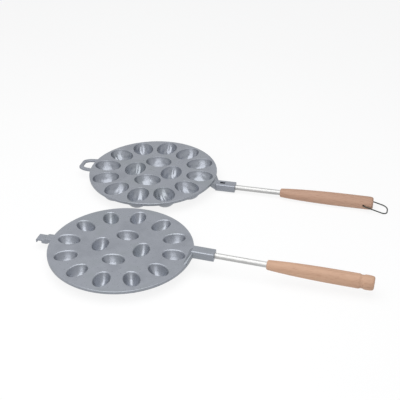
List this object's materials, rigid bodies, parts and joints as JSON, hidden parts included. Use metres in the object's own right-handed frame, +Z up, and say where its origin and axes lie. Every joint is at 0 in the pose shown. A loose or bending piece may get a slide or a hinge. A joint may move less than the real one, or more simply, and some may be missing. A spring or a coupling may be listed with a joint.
{
  "type": "walnut biscuit pan",
  "caption": "Hand-held stove-top pan for walnut-shaped biscuits: two round cast plates with hollows and bumps, rods and turned grips, unhooked and laid side by side.",
  "frame": {"origin": "on the table, below the middle of the box round both halves", "axes": "+X along the handles towards the grips' ends, +Y from the upper half to the lower half, +Z up"},
  "size_m": [0.51, 0.4302, 0.035],
  "materials": {
    "cast_aluminium": "matt cast",
    "rod_steel": "drawn bright",
    "beech": "turned, bare",
    "bail_wire": "dull dark"
  },
  "bodies": {
    "lower_half": {"lower_plate": "cast_aluminium", "lower_rod": "rod_steel", "lower_grip": "beech"},
    "upper_half": {"upper_plate": "cast_aluminium", "upper_rod": "rod_steel", "upper_grip": "beech"},
    "bail": {"wire_bail": "bail_wire"}
  },
  "joints": [
    {"name": "upper_half_swing", "type": "hinge", "parent": "lower_half", "child": "upper_half", "pos_m": [-0.23152, -0.1101, 0.0113], "axis": [0, -1, 0], "range_deg": [0, 170]},
    {"name": "bail_swing", "type": "hinge", "parent": "lower_half", "child": "bail", "pos_m": [0.21743, 0.1101, 0.01087], "axis": [0, -1, 0], "range_deg": [-146, 177]}
  ]
}
